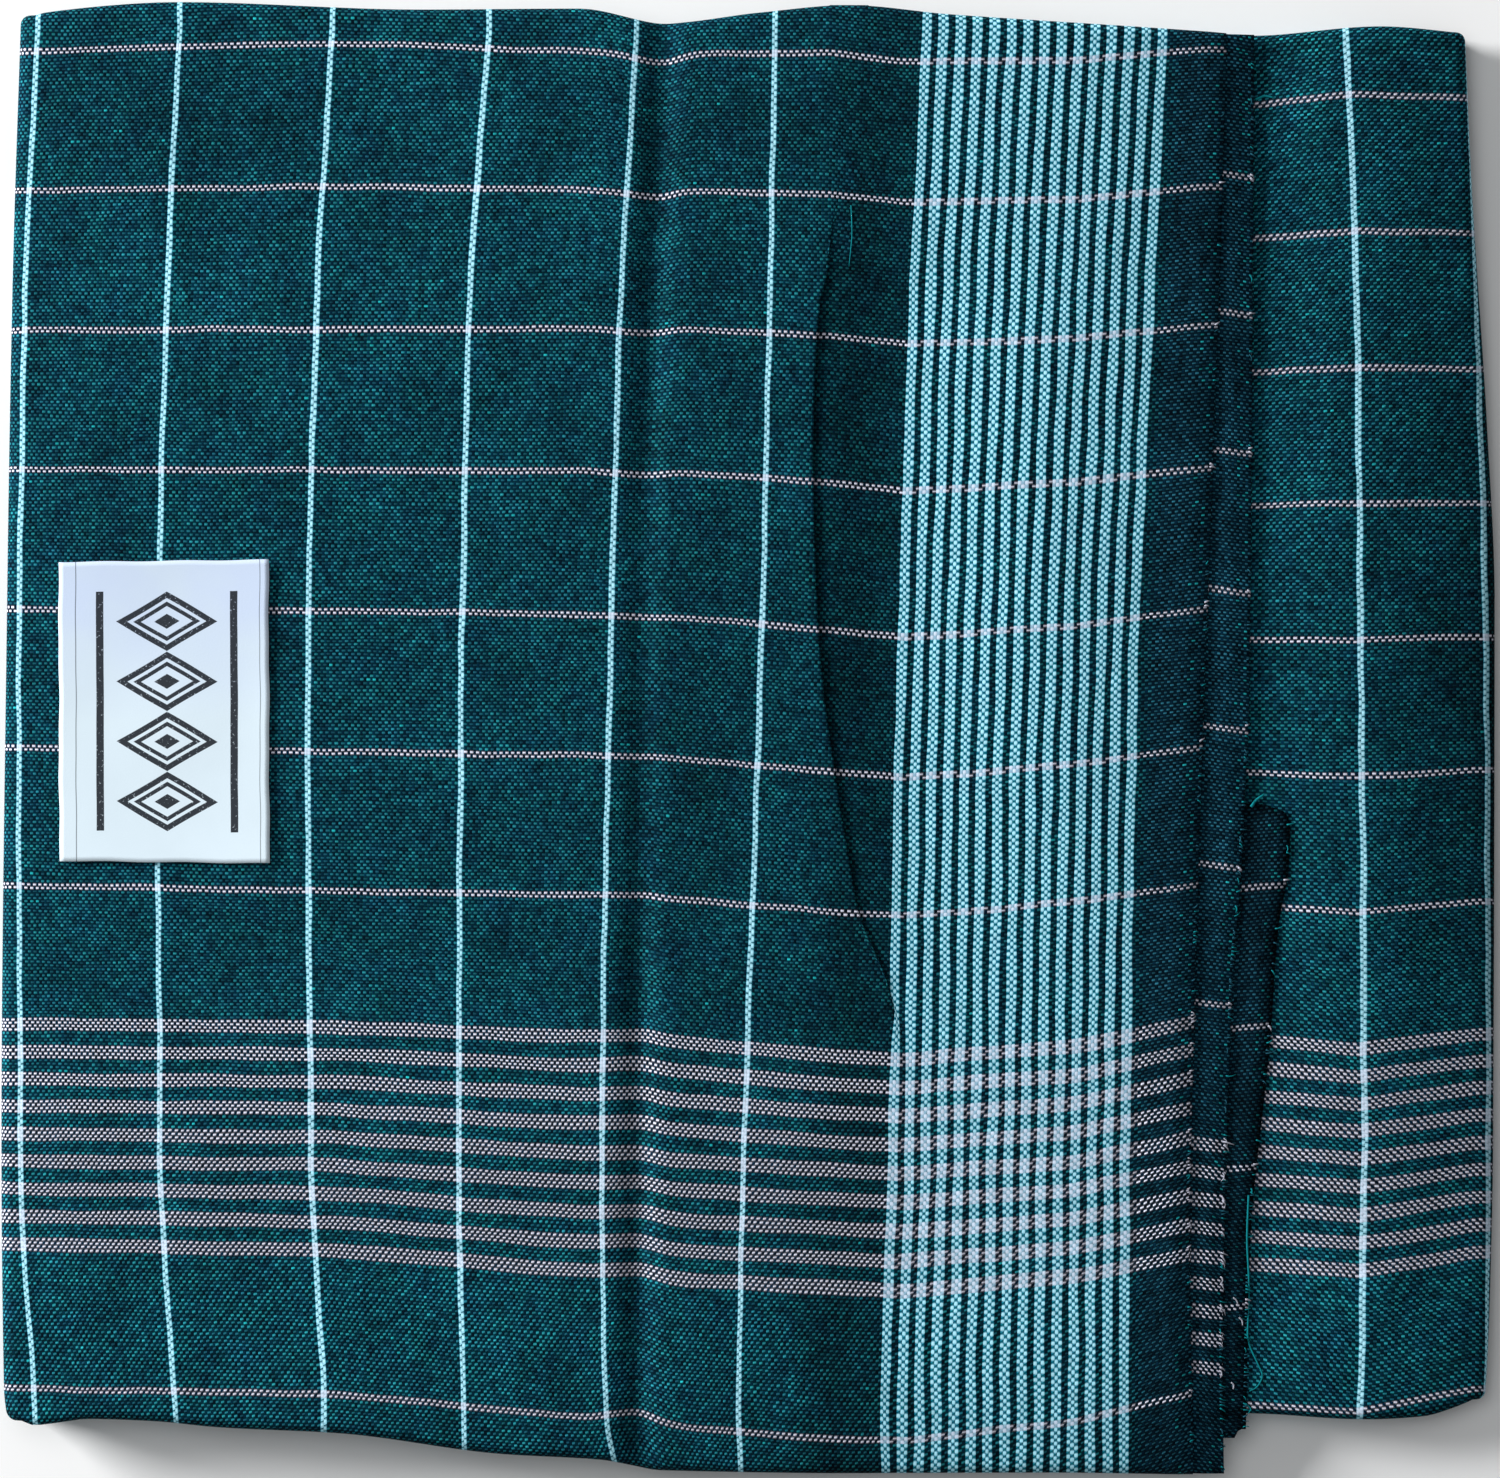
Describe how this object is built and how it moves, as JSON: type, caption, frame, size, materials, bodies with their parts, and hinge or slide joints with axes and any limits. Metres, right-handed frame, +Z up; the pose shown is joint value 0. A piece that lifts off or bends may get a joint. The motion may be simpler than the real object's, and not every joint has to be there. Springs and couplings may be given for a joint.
{
  "type": "longyi sarong",
  "caption": "Checked cotton longyi sarong cloth folded into a flat square, its frayed cut end lying over the plies below, with a paper label on top.",
  "frame": {"origin": "under the middle of the folded square, on the surface it lies on", "axes": "+X runs across the square to the fold on the right, +Y to the back edge, +Z up through the plies"},
  "size_m": [0.2998, 0.2951, 0.0144],
  "materials": {
    "teal_checked_cotton": "matt plain weave, checked",
    "teal_cotton_layers": "matt plain weave",
    "white_label_paper": "smooth white paper"
  },
  "bodies": {
    "root": {"top_flap": "teal_checked_cotton", "second_layer_end": "teal_checked_cotton", "third_layer_end": "teal_checked_cotton", "under_panel": "teal_checked_cotton", "hidden_layers": "teal_cotton_layers", "paper_label": "white_label_paper"}
  },
  "joints": []
}
